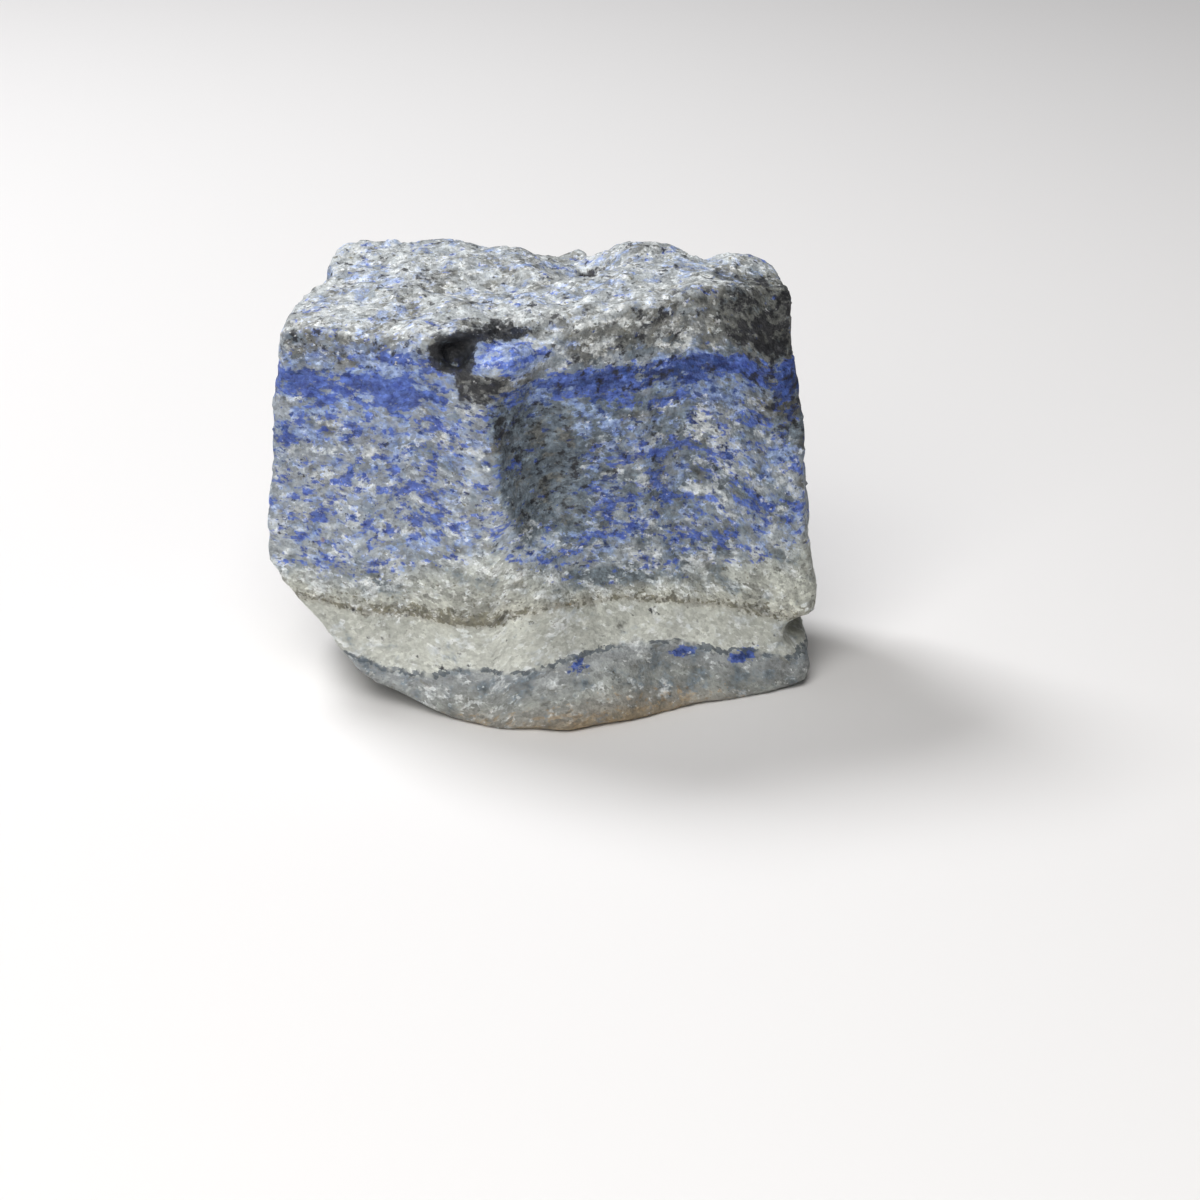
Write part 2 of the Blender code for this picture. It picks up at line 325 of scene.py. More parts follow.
# The grains of the rock, in the order in which they cover each other.
MINERALS: tuple[Mineral, ...] = (
    # Lazurite dust, too fine to see as grains: soft grey-blue clouds in the marble.
    Mineral(
        name="haze", colours=("#657693", "#8294ae"), length=3.6, flatness=1.7,
        column=(
            (14.0, 0.0), (17.0, 0.32), (26.0, 0.34), (31.0, 0.44), (35.5, 0.5), (37.0, 0.34),
            (41.0, 0.3),
        ),
        crown=0.16, clump=8.0, clumping=0.5, edge=0.14, cover=0.62,
        spots=(
            DARK_FACET.times(-0.3),
            RECESS.times(-0.5),
        ),
    ),
    # Grey-green silicates between the calcite: teal-grey grains. Its thickest spots, in the flute, the
    # recess, the dark facet and on the right front, are painted shade as well.
    Mineral(
        name="slate", colours=("#36434d", "#74838f"), length=2.8, flatness=1.3,
        column=(
            (0.0, 0.18), (5.0, 0.26), (5.9, 0.36), (6.2, 0.08), (11.0, 0.10), (15.0, 0.30),
            (30.0, 0.32), (36.0, 0.36),
        ),
        crown=0.24, clump=6.0, clumping=0.6, edge=0.11, cover=0.8,
        spots=(
            # Painted shade: the flute wall, the recess, the right front that faces away from the light and
            # two shallow flutes.
            FLUTE_WALL.times(1.15),
            RECESS.times(1.0),
            Spot((12.0, -11.0, 26.0), (14.0, 9.0, 11.0), 0.42, 2.0),
            Spot((5.8, -14.0, 28.5), (1.6, 5.0, 5.0), 0.4, 2.0),
            Spot((12.2, -12.0, 29.5), (1.8, 5.0, 4.0), 0.34, 2.0),
            Spot((17.3, -10.3, 15.4), (3.6, 2.5, 1.6), 0.6),
            Spot((-17.0, -13.5, 13.6), (3.0, 3.0, 1.2), 0.45),
            Spot((8.0, -15.0, 14.8), (5.0, 3.0, 1.3), 0.4),
            Spot((-4.0, -17.0, 4.6), (5.0, 4.0, 1.1), 0.5),
            Spot((14.0, -12.0, 3.2), (10.0, 8.0, 2.2), 0.27, 1.5),
            # Painted shade on the dark facet.
            DARK_FACET.times(0.9),
            LEDGE.times(-0.4),
        ),
    ),
    # Weathered and iron-stained grains: an olive-brown dirtiness, strongest on the top. Under the ledge, on
    # the flute wall and on the dark facet it is painted shade as well.
    Mineral(
        name="umber", colours=("#474640", "#7c7a70"), length=2.2, flatness=1.2,
        column=(
            (0.0, 0.22), (5.9, 0.20), (6.5, 0.08), (10.6, 0.1), (11.2, 0.36), (12.6, 0.22), (16.0, 0.2),
            (26.0, 0.27), (31.0, 0.32), (33.0, 0.05), (36.5, 0.5),
        ),
        crown=0.5, clump=4.5, clumping=0.7, edge=0.08, cover=0.76,
        spots=(
            # Painted shade as well as stain: under the ledge here, and on the flute wall and the dark facet
            # below.
            Spot((-5.6, -16.9, 34.7), (2.7, 3.0, 1.6), 0.9, 1.5),
            Spot((-18.5, -12.0, 37.0), (3.0, 3.0, 1.4), 0.4),
            Spot((12.0, -10.0, 38.2), (9.0, 5.0, 2.4), 0.42, 1.5),
            FLUTE_WALL.times(0.12),
            Spot((-15.0, -13.0, 37.0), (8.0, 3.0, 1.6), -0.22),
            DARK_FACET.times(0.4),
            LEDGE.times(-0.5),
        ),
    ),
    # Fresh calcite: white grains like coarse sugar.
    Mineral(
        name="calcite", colours=("#c2c8ca", "#e1e3e3"), length=2.2, flatness=1.3,
        column=(
            (0.0, 0.12), (5.8, 0.12), (6.3, 0.24), (12.0, 0.3), (16.0, 0.34), (31.0, 0.30), (33.0, 0.2),
            (36.0, 0.30),
        ),
        crown=0.48, clump=4.0, clumping=0.5, edge=0.1, cover=0.72,
        spots=(
            # Fewer white grains where shade is painted: the flute wall, the right front, the recess, the
            # dark facet and the pit.
            FLUTE_WALL.times(-0.36),
            Spot((9.0, -13.0, 31.0), (10.0, 6.0, 3.0), -0.14, 1.5),
            RECESS.times(-0.8),
            Spot((17.0, -10.0, 28.0), (3.0, 5.0, 5.0), 0.16),
            Spot((-8.0, -16.0, 2.6), (7.0, 5.0, 2.2), 0.22, 1.5),
            LEDGE.times(-0.05),
            DARK_FACET.times(-0.3),
            PIT.times(-0.5),
        ),
    ),
    # Lazurite mixed with calcite: pale periwinkle grains, thickest on the ledge.
    Mineral(
        name="pale_lazurite", colours=("#6079b9", "#9fb5db"), length=2.0, flatness=1.6,
        column=(
            (15.0, 0.0), (17.0, 0.30), (28.0, 0.34), (31.5, 0.46), (34.9, 0.5), (35.6, 0.36),
            (38.0, 0.26),
        ),
        crown=0.3, clump=4.5, clumping=0.8, edge=0.1, cover=0.7,
        spots=(
            Spot((-13.5, -14.5, 35.6), (2.0, 2.0, 1.2), 0.5),
            Spot((-15.0, -13.0, 37.0), (8.0, 3.0, 1.6), 0.46),
            Spot((12.0, -12.0, 37.8), (10.0, 6.0, 2.0), -0.3, 1.5),
            LEDGE.times(0.9),
            Spot((-5.6, -16.9, 34.7), (2.7, 3.0, 1.6), -0.6, 1.5),
            FLUTE_WALL.times(-0.42),
            RECESS.times(-0.6),
            DARK_FACET.times(-0.3),
            PIT.times(-0.5),
        ),
    ),
    # Lazurite: the strong blue flecks, and the blue band where they run together.
    Mineral(
        name="lazurite", colours=("#273c88", "#526cb8"), length=1.7, flatness=1.9,
        column=(
            (14.6, 0.0), (15.6, 0.2), (17.0, 0.31), (22.0, 0.36), (26.0, 0.34), (29.0, 0.32),
            (31.8, 0.36), (32.7, 0.58), (34.8, 0.62), (35.3, 0.28), (36.2, 0.17), (41.0, 0.12),
        ),
        crown=0.14, clump=3.4, clumping=0.9, edge=0.06, cover=0.92,
        spots=(
            LEDGE.times(0.64),
            Spot((-16.0, -12.5, 33.4), (9.0, 4.0, 1.7), 0.22),
            Spot((-14.0, -13.5, 37.0), (8.0, 3.0, 1.6), 0.24),
            Spot((-12.0, -15.0, 36.6), (3.0, 3.0, 1.1), 0.3),
            Spot((12.0, -12.0, 38.3), (10.0, 6.0, 2.4), -0.3, 1.5),
            Spot((12.0, -13.0, 34.4), (11.0, 7.0, 1.1), 0.4, 2.0),
            Spot((9.0, -14.0, 30.4), (10.0, 6.0, 2.2), -0.26, 1.5),
            Spot((9.0, -14.0, 21.5), (6.0, 6.0, 2.5), 0.1),
            Spot((3.5, -18.7, 6.7), (0.9, 2.0, 0.8), 0.8, 1.2),
            Spot((14.1, -13.5, 6.0), (1.3, 2.0, 0.6), 0.9, 1.5),
            Spot((20.2, -11.1, 4.6), (1.4, 2.0, 0.6), 0.9, 1.5),
            Spot((25.0, -3.5, 31.4), (1.7, 4.0, 2.6), 0.6, 1.5),
            FLUTE_WALL.times(-0.26),
            Spot((-5.6, -16.9, 34.7), (2.7, 3.0, 1.6), -0.6, 1.5),
            RECESS.times(-0.4),
            DARK_FACET.times(-0.1),
        ),
    ),
    # The purest lazurite: small navy grains in the blue band and in the spots near the foot.
    Mineral(
        name="deep_lazurite", colours=("#16224f", "#2f4884"), length=1.5, flatness=1.9,
        column=(
            (15.0, 0.0), (17.0, 0.12), (26.0, 0.16), (31.0, 0.16), (32.9, 0.32), (34.8, 0.32),
            (35.3, 0.12), (41.0, 0.03),
        ),
        crown=0.0, clump=3.0, clumping=0.8, edge=0.06, cover=0.9,
        spots=(
            # Painted shade as well as navy grains: the right of the band and the right front, which face
            # away from the light.
            Spot((12.0, -13.0, 34.2), (11.0, 7.0, 1.3), 0.2, 2.0),
            Spot((-16.0, -12.5, 33.4), (9.0, 4.0, 1.7), -0.2),
            Spot((10.0, -12.0, 24.0), (13.0, 9.0, 8.0), 0.08, 2.0),
            Spot((3.5, -18.7, 6.7), (0.9, 2.0, 0.8), 0.5),
            Spot((14.1, -13.5, 6.0), (1.2, 2.0, 0.6), 0.5),
            Spot((20.2, -11.1, 4.6), (1.3, 2.0, 0.6), 0.6),
            Spot((25.0, -3.5, 31.0), (1.8, 4.0, 2.8), 0.5, 1.5),
            FLUTE_WALL.times(-0.1),
            LEDGE.times(-0.1),
            RECESS.times(-0.4),
        ),
    ),
    # Fine tarnished pyrite: olive-brown grains that draw the seam.
    Mineral(
        name="pyrite", colours=("#434137", "#6c6852"), length=0.6, flatness=1.2,
        column=(
            (5.8, 0.04), (6.4, 0.0), (10.7, 0.02), (11.1, 0.5), (11.7, 0.5), (12.3, 0.2), (14.5, 0.1),
            (17.0, 0.06), (31.0, 0.08), (32.5, 0.0), (35.5, 0.02), (36.5, 0.16),
        ),
        crown=0.2, clump=3.0, clumping=0.6, edge=0.05, cover=0.8,
        spots=(
            Spot((-10.0, -15.0, 11.4), (10.0, 6.0, 0.9), 0.3),
            LEDGE.times(-0.3),
            RECESS.times(-0.3),
        ),
    ),
    # Dark mica: near-black specks, and painted shade in the hollows and on faces turned from the light.
    Mineral(
        name="mica_and_painted_shade", colours=("#0f1117", "#26262b"), length=1.1, flatness=1.1,
        column=(
            (0.0, 0.05), (5.8, 0.04), (6.3, 0.05), (12.0, 0.05), (30.0, 0.06), (32.0, 0.02),
            (35.5, 0.06), (36.5, 0.27), (40.0, 0.27),
        ),
        crown=0.21, clump=5.0, clumping=0.7, edge=0.08, cover=0.93,
        spots=(
            # Painted shade: the recess, the shadow under the rim and under the ledge, a chip on the ridge,
            # the dark facet, the right front, the flute wall and the pit in the top.
            RECESS.times(1.6),
            Spot((-4.6, -13.4, 39.6), (4.6, 2.0, 0.9), 0.75, 1.5),
            Spot((-5.8, -16.9, 34.5), (2.5, 2.6, 1.5), 0.5, 1.5),
            Spot((-7.8, -16.6, 35.6), (1.2, 2.0, 1.0), 0.4),
            Spot((-4.0, -17.5, 31.5), (1.0, 1.6, 1.2), 0.5),
            DARK_FACET.times(0.36),
            Spot((12.0, -13.0, 34.4), (9.5, 6.0, 1.6), 0.39),
            FLUTE_WALL.times(0.2),
            Spot((10.0, -12.0, 27.0), (12.0, 8.0, 7.0), 0.12, 1.5),
            PIT.times(1.2),
            LEDGE.times(-0.5),
        ),
    ),
    # Single bright calcite grains, with painted glints where crystal faces would catch the light: small
    # white specks.
    Mineral(
        name="white_grains_and_painted_glints", colours=("#d4d9da", "#e8e8e8"), length=0.7, flatness=1.2,
        column=(
            (0.0, 0.08), (6.0, 0.1), (16.0, 0.09), (31.0, 0.06), (32.5, 0.0), (35.3, 0.0), (36.5, 0.12),
        ),
        crown=0.2, clump=3.0, clumping=0.4, edge=0.07, cover=0.5,
        spots=(
            Spot((15.6, -9.0, 30.3), (0.5, 1.5, 1.0), 0.5),
            Spot((15.4, -9.0, 27.5), (0.4, 1.5, 0.9), 0.5),
            RECESS.times(-0.5),
            LEDGE.times(-0.1),
            FLUTE_WALL.times(-0.1),
            DARK_FACET.times(-0.1),
        ),
    ),
    # Iron stain: the tan skin of the underside and a few rusty grains.
    Mineral(
        name="rust", colours=("#7f6a4c", "#ab9370"), length=0.9, flatness=1.2,
        column=(
            (-1.0, 0.4), (0.8, 0.34), (2.0, 0.1), (3.0, 0.0), (40.0, 0.0),
        ),
        crown=0.0, clump=4.0, clumping=0.4, edge=0.08, cover=0.6,
        spots=(
            Spot((10.9, -12.0, 23.3), (0.8, 1.2, 0.5), 0.55),
            Spot((-22.4, -10.9, 17.0), (0.7, 1.2, 0.5), 0.55),
            Spot((1.5, -19.3, 13.3), (1.2, 1.5, 0.5), 0.4),
        ),
    ),
)

# Seeds of the minerals' clumps and grains: that of the first mineral, and the step to each next.
CLUMP_SEEDS = (50.0, 7.0)
GRAIN_SEEDS = (13.0, 5.7)

# Hollows too small for the solid, with their depths. A negative depth is a swelling. They are the
# recess, the undercut of the rim, the ledge, the flute, two shallow flutes to its right, five
# chips and bumps down the ridge, the notch and the pit in the top.
HOLLOWS: tuple[Spot, ...] = (
    Spot((-8.6, -15.3, 38.2), (1.7, 3.0, 1.0), 2.3, 1.3, 0.5),
    Spot((-4.2, -12.7, 39.7), (4.4, 1.8, 0.9), 0.7),
    Spot((-3.4, -15.8, 37.3), (3.3, 2.6, 1.3), -0.7, 1.5),
    Spot((-0.7, -15.8, 27.4), (2.9, 4.5, 6.8), 1.0, 2.0, -0.2),
    Spot((5.4, -15.0, 27.5), (1.9, 4.5, 7.0), 0.35),
    Spot((12.2, -13.0, 27.5), (1.8, 4.5, 7.0), 0.35),
    Spot((-3.9, -18.2, 33.5), (1.0, 1.2, 0.8), -0.35),
    Spot((-4.2, -17.6, 31.4), (0.9, 1.4, 1.1), 0.6),
    Spot((-3.4, -18.6, 28.4), (0.9, 1.2, 0.9), -0.3),
    Spot((-3.0, -18.9, 25.4), (0.9, 1.2, 1.1), 0.45),
    Spot((-2.6, -19.2, 22.4), (0.8, 1.2, 0.8), -0.3),
    Spot((26.6, -1.0, 5.8), (2.2, 12.0, 1.2), 1.6, 1.5),
    PIT.times(1.4),
)


@dataclass
class RoughStone:
    """The broken block of rock.

    Attributes:
        cell: Spacing of the fine mesh.
        calm: Smoothing passes that take the facets off the solid.
        lump: The broad lumps.
        knob: The smaller ones.
        crystal: The crystal faces that the rock broke along.
        grit: The finest roughness.
        crown_gain: How much rougher the top is than the front.
        crown_slope: Upward part of the normal where the top starts and where it is full.
        crown_height: Heights where it starts and where it is full.
        foot: Heights between which the roughness fades in, so that the resting spot stays flat.
        floor_level: Whatever is lower than this lies on the floor.
        calm_marble: How much smoother the plain white layer is.
        calm_foot: Share of that smoothness that the foot has.
        marble_start: Where the white layer starts and is full, above the slate line.
        marble_end: How far below the pyrite seam it starts to give way.
        drift: How the bands wander behind the front, where the photo can't show them.
        drift_shape: How the places are stretched before the drift is worked out.
        drift_start: Depths where the drift starts and where it is full.
        wander: Waviness of every bed.
        quiver: The finer waviness.
        thinnest: Least distance between two beds.
        fold_change: Heights between which the fold of the pyrite seam turns into the blue band's.
        dip: How far the grains dip for each millimetre back.
        dip_start: Depth where the dip is nothing.
        clump_shape: How the places are stretched before the clumps are worked out.
        cloud: The soft light and dark clouds in the plain rock.
        full_relief: Height or depth that counts as fully raised or sunk.
        trace: Smallest share of a mineral that still shows a grain.
        absence: How far below zero the share goes where there is none.
    """

    cell: float = 0.36
    calm: int = 1
    lump: Waves = Waves(4.5, 0.18, 3.0)
    knob: Waves = Waves(2.2, 0.12, 11.0)
    crystal: Facets = Facets(1.6, 0.22, 5.0)
    grit: Waves = Waves(0.8, 0.06, 23.0)
    crown_gain: float = 1.7
    crown_slope: Pair = (0.35, 0.75)
    crown_height: Pair = (34.0, 37.0)
    foot: Pair = (0.10, 1.3)
    floor_level: float = 0.12
    calm_marble: float = 0.45
    calm_foot: float = 0.5
    marble_start: Pair = (-0.2, 0.6)
    marble_end: float = 0.8
    drift: Waves = Waves(22.0, 1.2, 41.0)
    drift_shape: Triple = (1.0, 1.0, 0.25)
    drift_start: Pair = (-10.0, 12.0)
    wander: Waves = Waves(3.2, 0.3, 17.0)
    quiver: Waves = Waves(1.1, 0.15, 29.0)
    thinnest: float = 0.5
    fold_change: Pair = (12.0, 33.0)
    dip: float = 0.08
    dip_start: float = -14.0
    clump_shape: Triple = (0.65, 0.65, 1.9)
    cloud: Waves = Waves(4.0, 0.3, 71.0)
    full_relief: float = 0.4
    trace: float = 0.06
    absence: float = 0.5

    def build(self) -> bpy.types.Object:
        """Make the stone's fine surface and note its minerals on it.

        Returns:
            The finished piece.
        """
        stone = self.fine_copy()
        solid = np.array([v.co[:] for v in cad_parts["lapis_stone"].data.vertices]) / MM
        places, normals = self.read(stone)
        crown = ease(normals[:, 2], *self.crown_slope) * ease(places[:, 2], *self.crown_height)
        relief = self.relief(places, crown)
        moved = places + normals * (relief * ease(places[:, 2], *self.foot))[:, None]
        moved = self.hold(places, moved, solid.min(axis=0), solid.max(axis=0))
        moved[places[:, 2] < self.floor_level, 2] = 0.0
        stone.data.vertices.foreach_set("co", (moved * MM).ravel())
        stone.data.shade_smooth()
        stone.data.update()
        self.note_minerals(stone, moved, crown, relief)
        return stone

    def fine_copy(self) -> bpy.types.Object:
        """Copy the solid and give the copy an even fine mesh without facets.

        Returns:
            The copy.
        """
        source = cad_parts["lapis_stone"]
        mesh = source.data.copy()
        mesh.materials.clear()
        stone = bpy.data.objects.new("rough_surface", mesh)
        bpy.context.collection.objects.link(stone)
        remesh = stone.modifiers.new("fine cells", "REMESH")
        remesh.mode = "VOXEL"
        remesh.voxel_size = self.cell * MM
        smooth = stone.modifiers.new("no facets", "SMOOTH")
        smooth.factor = 0.5
        smooth.iterations = self.calm
        evaluated = stone.evaluated_get(bpy.context.evaluated_depsgraph_get())
        fine = bpy.data.meshes.new_from_object(evaluated)
        stone.modifiers.clear()
        stone.data = fine
        return stone

    def read(self, stone: bpy.types.Object) -> tuple[np.ndarray, np.ndarray]:
        """Read where a piece's vertices are and which way they face.

        Args:
            stone: The piece.

        Returns:
            The places in millimetres and the normals, one row for each vertex.
        """
        count = len(stone.data.vertices)
        places = np.empty(3 * count, np.float32)
        normals = np.empty(3 * count, np.float32)
        stone.data.vertices.foreach_get("co", places)
        stone.data.vertex_normals.foreach_get("vector", normals)
        return places.reshape(-1, 3) / MM, normals.reshape(-1, 3)

    def relief(self, places: np.ndarray, crown: np.ndarray) -> np.ndarray:
        """Work out how far each place stands out from the smooth surface.

        Args:
            places: The vertices.
            crown: One on the top, zero elsewhere.

        Returns:
            Heights along the normal.
        """
        height = self.lump.at(places)
        for part in (self.knob, self.crystal, self.grit):
            height += part.at(places)
        gain = 1.0 + (self.crown_gain - 1.0) * crown
        height *= gain * self.roughness(self.unfold(places)[0])
        for hollow in HOLLOWS:
            height -= hollow.spread(places)
        return height

    def roughness(self, unfolded: np.ndarray) -> np.ndarray:
        """Tell how rough the beds break: the plain white layer is finer, and half as much the foot.

        Args:
            unfolded: The unfolded height of each place.

        Returns:
            One where the rock is as rough as elsewhere, less where it breaks smoother.
        """
        low, full = self.marble_start
        above = ease(unfolded, SLATE_LINE.level + low, SLATE_LINE.level + full)
        below = ease(unfolded, PYRITE_SEAM.level, PYRITE_SEAM.level - self.marble_end)
        marble = (self.calm_foot + (1.0 - self.calm_foot) * above) * below
        return 1.0 - self.calm_marble * marble

    def hold(self, places: np.ndarray, moved: np.ndarray, low: np.ndarray, high: np.ndarray) -> np.ndarray:
        """Hold the rough surface inside the box of the solid.

        Args:
            places: The vertices before they moved.
            moved: The vertices after.
            low: Lower corner of the box.
            high: Upper corner of the box.

        Returns:
            The moved vertices. One that would leave the box goes half way to it instead.
        """
        inside = np.clip(places, low, high)
        nearest = np.where(moved > high, 0.5 * (inside + high), moved)
        return np.where(moved < low, 0.5 * (inside + low), nearest)

    def unfold(self, places: np.ndarray) -> tuple[np.ndarray, np.ndarray]:
        """Turn height into height above the foot of the unfolded rock.

        Args:
            places: The vertices.

        Returns:
            The unfolded height of each, so that every bed has one height, and how far the fold
            lifts the rock there.
        """
        across, back, up = places.T
        drift = self.drift.at(places * np.array(self.drift_shape)) * ease(back, *self.drift_start)
        lines = np.array([bed.height(across) for bed in BEDS]) + drift
        height = up + (self.wander.at(places) + self.quiver.at(places))
        unfolded = height - lines[0] + BEDS[0].level
        for i in range(len(BEDS) - 1):
            part = (height - lines[i]) / np.maximum(lines[i + 1] - lines[i], self.thinnest)
            between = BEDS[i].level + part * (BEDS[i + 1].level - BEDS[i].level)
            unfolded = np.where(height > lines[i], between, unfolded)
        unfolded = np.where(height > lines[-1], height - lines[-1] + BEDS[-1].level, unfolded)
        upper = ease(up, *self.fold_change)
        lift = (1.0 - upper) * (lines[1] - PYRITE_SEAM.level) + upper * (lines[-1] - BLUE_BAND.level)
        return unfolded, lift

    def note_minerals(
        self, stone: bpy.types.Object, places: np.ndarray, crown: np.ndarray, relief: np.ndarray
    ) -> None:
        """Store on the mesh what the finish needs to know of every place.

        Args:
            stone: The piece.
            places: Its vertices.
            crown: One on the top, zero elsewhere.
            relief: How far each place stands out.
        """
        unfolded, lift = self.unfold(places)
        bed_place = places.copy()
        bed_place[:, 2] += self.dip * (places[:, 1] - self.dip_start) - lift
        store(stone, "bed_place", bed_place)
        store(stone, "bed_height", unfolded)
        store(stone, "roughness_of_bed", self.roughness(unfolded))
        store(stone, "relief", np.clip(relief / self.full_relief, -1.0, 1.0))
        store(stone, "rock", self.plain_rock(bed_place, unfolded, crown))
        for number, mineral in enumerate(MINERALS):
            share = np.interp(unfolded, *zip(*mineral.column))
            share += crown * (mineral.crown - share)
            seed = CLUMP_SEEDS[0] + CLUMP_SEEDS[1] * number
            clumps = Waves(mineral.clump, mineral.clumping, seed)
            share *= 1.0 + clumps.at(bed_place * np.array(self.clump_shape))
            for spot in mineral.spots:
                share += spot.spread(places)
            absent = 1.0 - ease(share, 0.0, self.trace)
            store(stone, mineral.name, np.clip(share, 0.0, 1.0) - self.absence * absent)

    def plain_rock(self, bed_place: np.ndarray, unfolded: np.ndarray, crown: np.ndarray) -> np.ndarray:
        """Work out the colour of the rock between its grains.

        Args:
            bed_place: The unfolded place of each vertex.
            unfolded: Its unfolded height.
            crown: One on the top, zero elsewhere.

        Returns:
            Linear red, green and blue, one row for each vertex.
        """
        heights = [level for level, _ in ROCK]
        shades = np.array([linear(colour)[:3] for _, colour in ROCK])
        rock = np.column_stack([np.interp(unfolded, heights, shades[:, i]) for i in range(3)])
        rock += crown[:, None] * (np.array(linear(CROWN_ROCK)[:3]) - rock)
        return rock * (1.0 + self.cloud.at(bed_place)[:, None])


def store(piece: bpy.types.Object, name: str, values: np.ndarray) -> None:
    """Store one number or one vector for each vertex of a piece.

    Args:
        piece: The piece.
        name: Name of the attribute.
        values: One row for each vertex.
    """
    kind, field = ("FLOAT_VECTOR", "vector") if values.ndim == 2 else ("FLOAT", "value")
    attribute = piece.data.attributes.new(name, kind, "POINT")
    attribute.data.foreach_set(field, np.asarray(values, np.float32).ravel())


@dataclass(frozen=True)
class Grain:
    """Grains of one size, as noise draws them.

    Attributes:
        length: Length of a grain along the bedding.
        flatness: How many times longer than high it is.
        seed: Shifts the noise, so that two patterns differ.
        detail: Levels of finer noise on top.
    """

    length: float
    flatness: float
    seed: float
    detail: float = 2.0


@dataclass(frozen=True)
class LapisMarble:
    """Freshly broken, fine-grained calcite marble with lazurite, pyrite and mica.

    Nothing has ground or polished it, so it is dull, with a sugary grain and no clear gloss. The
    finest real grains are about a tenth of a millimetre, too fine for the picture, so the finest
    ones here are three times as coarse.

    Attributes:
        ior: Refractive index of calcite.
        roughness: Roughness of the broken face.
        depth: Length of a grain over its size from front to back.
        fine: The finest grain.
        shade: Grains that are darker or lighter as a whole.
        shade_range: Noise levels of the darkest and the lightest.
        crystal: Width of the crystals that the minerals are made of.
        crystal_flatness: How many times wider than high a crystal is.
        crystal_bend: How far crystal edges bend, in crystals.
        crystal_bends: Bends for each crystal.
        crystal_part: Share of the crystals in the grain, beside the fine noise.
        ragged: How far the fine grain moves the edge of a larger one.
        fullness: How far a full share of a mineral lifts its noise.
        threshold: Level above which a grain shows.
        line: Raggedness of the slate line.
        line_wander: How far it wanders from its bed.
        line_level: Its level with that wandering.
        line_width: Half its width.
        line_gaps: Its broken places.
        line_range: Noise levels where it starts and where it is full.
        line_cover: How fully it hides the rock.
        line_colour: Its sRGB colour.
        coarse: The larger light and dark grain of the rock.
        coarse_part: Share of that grain beside the finest one.
        pit_shade: How far painted shade darkens the pits and painted light lightens the bumps.
        grain_range: Noise levels of full shade and full light.
        contrast: How far the grain lightens and darkens the rock.
        bump: The roughness that is too fine for the mesh.
        bump_strength: Its strength on the rougher beds.
        bump_depth: Its depth.
    """

    ior: float = 1.5
    roughness: float = 0.62
    depth: float = 0.85
    fine: Grain = Grain(0.32, 1.2, 91.0, 1.0)
    shade: Grain = Grain(0.9, 1.4, 47.0)
    shade_range: Pair = (0.33, 0.67)
    crystal: float = 0.6
    crystal_flatness: float = 1.5
    crystal_bend: float = 0.9
    crystal_bends: float = 1.6
    crystal_part: float = 0.45
    ragged: float = 0.32
    fullness: float = 0.44
    threshold: float = 0.89
    line: Grain = Grain(0.9, 1.0, 77.0)
    line_wander: float = 1.6
    line_level: float = SLATE_LINE.level + 0.8
    line_width: float = 0.22
    line_gaps: Grain = Grain(2.5, 1.0, 83.0)
    line_range: Pair = (0.42, 0.5)
    line_cover: float = 0.8
    line_colour: str = "#4c5660"
    coarse: Grain = Grain(1.0, 1.2, 63.0)
    coarse_part: float = 0.35
    pit_shade: float = 0.05
    grain_range: Pair = (0.25, 0.75)
    contrast: float = 0.62
    bump: Grain = Grain(0.45, 1.0, 57.0)
    bump_strength: float = 0.62
    bump_depth: float = 0.35

    def material(self) -> bpy.types.Material:
        """Build the finish.

        Returns:
            The material.
        """
        made = bpy.data.materials.new("broken_lapis_marble")
        made.use_nodes = True
        tree = made.node_tree
        tree.nodes.clear()
        place = add_node(tree, "ShaderNodeAttribute", {"attribute_name": "bed_place"}, {}, "Vector")
        rough = add_node(tree, "ShaderNodeAttribute", {"attribute_name": "roughness_of_bed"}, {}, "Fac")
        colour = add_node(tree, "ShaderNodeAttribute", {"attribute_name": "rock"}, {}, "Vector")
        fine = self.crystals(tree, place, self.field(tree, place, self.fine))
        tone = self.tone(tree, place)
        for number, mineral in enumerate(MINERALS):
            colour = self.scatter(tree, place, fine, tone, colour, mineral, number)
        colour = self.slate_line(tree, place, colour)
        colour = self.sugar(tree, place, fine, rough, colour)
        surface = add_node(
            tree, "ShaderNodeBsdfPrincipled", {},
            {"Base Color": colour, "Roughness": self.roughness, "IOR": self.ior,
             "Normal": self.bumps(tree, place, rough)},
        )
        add_node(tree, "ShaderNodeOutputMaterial", {}, {"Surface": surface})
        return made

    def field(
        self, tree: bpy.types.NodeTree, place: bpy.types.NodeSocket, grain: Grain
    ) -> bpy.types.NodeSocket:
        """Add noise with grains of a given size.

        Args:
            tree: The node tree.
            place: The unfolded place.
            grain: The size of the grains.

        Returns:
            Noise levels around one half.
        """
        scale = 1.0 / grain.length
        scaled = add_node(
            tree, "ShaderNodeVectorMath", {"operation": "MULTIPLY_ADD"},
            {"Vector": place, "Vector_001": (scale, self.depth * scale, scale * grain.flatness),
             "Vector_002": (grain.seed, -grain.seed, 2.3 * grain.seed)},
        )
        return add_node(
            tree, "ShaderNodeTexNoise", {"noise_dimensions": "3D"},
            {"Vector": scaled, "Scale": 1.0, "Detail": grain.detail, "Roughness": 0.6},
        )

    def tone(self, tree: bpy.types.NodeTree, place: bpy.types.NodeSocket) -> bpy.types.NodeSocket:
        """Work out which grains are darker and which lighter.

        Args:
            tree: The node tree.
            place: The unfolded place.

        Returns:
            Zero for the darkest grains to one for the lightest.
        """
        darkest, lightest = self.shade_range
        return add_node(
            tree, "ShaderNodeMapRange", {},
            {"Value": self.field(tree, place, self.shade), "From Min": darkest, "From Max": lightest},
        )

